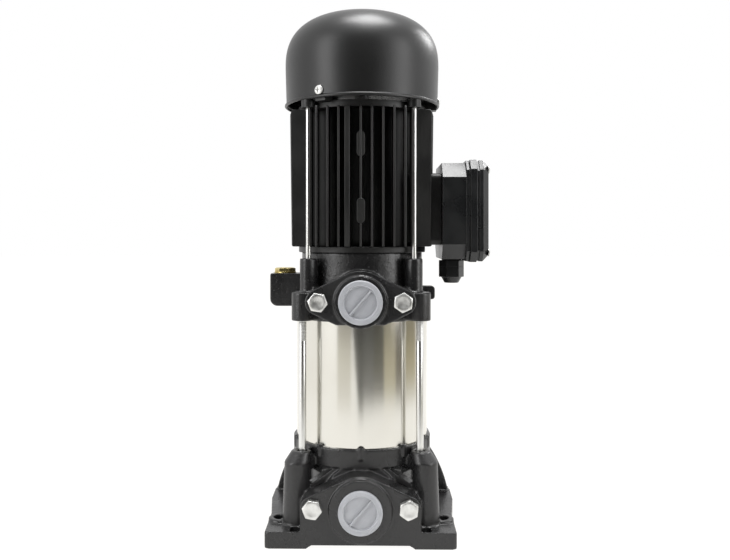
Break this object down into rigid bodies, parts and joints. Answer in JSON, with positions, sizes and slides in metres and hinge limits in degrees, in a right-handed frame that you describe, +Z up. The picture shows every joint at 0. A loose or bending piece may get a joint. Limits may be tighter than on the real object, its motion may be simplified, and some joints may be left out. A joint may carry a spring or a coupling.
{
  "type": "vertical multistage pump",
  "caption": "Vertical multistage centrifugal pump: cast foot, steel barrel between tie bolts, ported head and finned motor with domed cowl and terminal box.",
  "frame": {"origin": "on the floor, on the pump axis, at the centre of the four foot holes", "axes": "+Z up along the shaft; both ports look along -Y; the terminal box is on +X"},
  "size_m": [0.2012, 0.1619, 0.477],
  "materials": {
    "black_casting": "black paint over cast iron and die-cast aluminium, slightly pitted",
    "stainless": "polished or drawn stainless sheet",
    "zinc_steel": "bright zinc plated",
    "bearing_steel": "ground",
    "brass": "machined, dulled",
    "copper": null,
    "lamination_steel": "stamped laminations",
    "black_plastic": "fine moulded grain",
    "milky_plastic": "translucent",
    "rubber": "matt",
    "seal_carbon": "carbon and ceramic"
  },
  "bodies": {
    "pump": {"base_casting": "black_casting", "bearing_outer_races": "bearing_steel", "cable_gland_body": "black_plastic", "cable_gland_nut": "black_plastic", "cable_gland_seal": "rubber", "cable_gland_washer": "rubber", "cowl_screws": "zinc_steel", "diffuser_1": "stainless", "diffuser_2": "stainless", "diffuser_3": "stainless", "diffuser_4": "stainless", "discharge_flange_bolts": "zinc_steel", "drive_end_shield": "black_casting", "fan_cowl": "black_casting", "fan_end_shield": "black_casting", "inlet_plate": "stainless", "lid_screws": "zinc_steel", "lower_bush": "seal_carbon", "motor_housing": "black_casting", "motor_stud_nuts": "zinc_steel", "motor_studs": "zinc_steel", "outer_sleeve": "stainless", "pump_head": "black_casting", "seal_seat": "seal_carbon", "sleeve_seal_lower": "rubber", "sleeve_seal_upper": "rubber", "stage_casing_1": "stainless", "stage_casing_2": "stainless", "stage_casing_3": "stainless", "stage_casing_4": "stainless", "stator_core": "lamination_steel", "stator_windings": "copper", "stay_bolt_nuts": "zinc_steel", "stay_bolt_washers": "zinc_steel", "stay_bolts": "zinc_steel", "suction_flange_bolts": "zinc_steel", "terminal_block": "black_plastic", "terminal_box_body": "black_plastic", "terminal_box_gasket": "rubber", "terminal_box_lid": "black_plastic", "top_plate": "stainless"},
    "rotor": {"shaft": "stainless", "rotor_core": "lamination_steel", "cooling_fan": "black_plastic", "shaft_nut": "stainless", "impeller_spacers": "stainless", "seal_rotary": "seal_carbon", "bearing_inner_races": "bearing_steel", "bearing_cages": "bearing_steel", "impeller_1": "stainless", "impeller_2": "stainless", "impeller_3": "stainless", "impeller_4": "stainless"},
    "suction_cap": {"suction_cap": "milky_plastic"},
    "discharge_cap": {"discharge_cap": "milky_plastic"},
    "filler_plug": {"filler_plug": "brass"}
  },
  "joints": [
    {"name": "rotor_spin", "type": "hinge", "parent": "pump", "child": "rotor", "pos_m": [0, 0, 0.2], "axis": [0, 0, 1], "continuous": true},
    {"name": "suction_cap_pull", "type": "slide", "parent": "pump", "child": "suction_cap", "axis": [0, -1, 0], "range_m": [0, 0.03]},
    {"name": "discharge_cap_pull", "type": "slide", "parent": "pump", "child": "discharge_cap", "axis": [0, -1, 0], "range_m": [0, 0.03]},
    {"name": "filler_plug_lift", "type": "slide", "parent": "pump", "child": "filler_plug", "axis": [0, 0, 1], "range_m": [0, 0.018]}
  ]
}
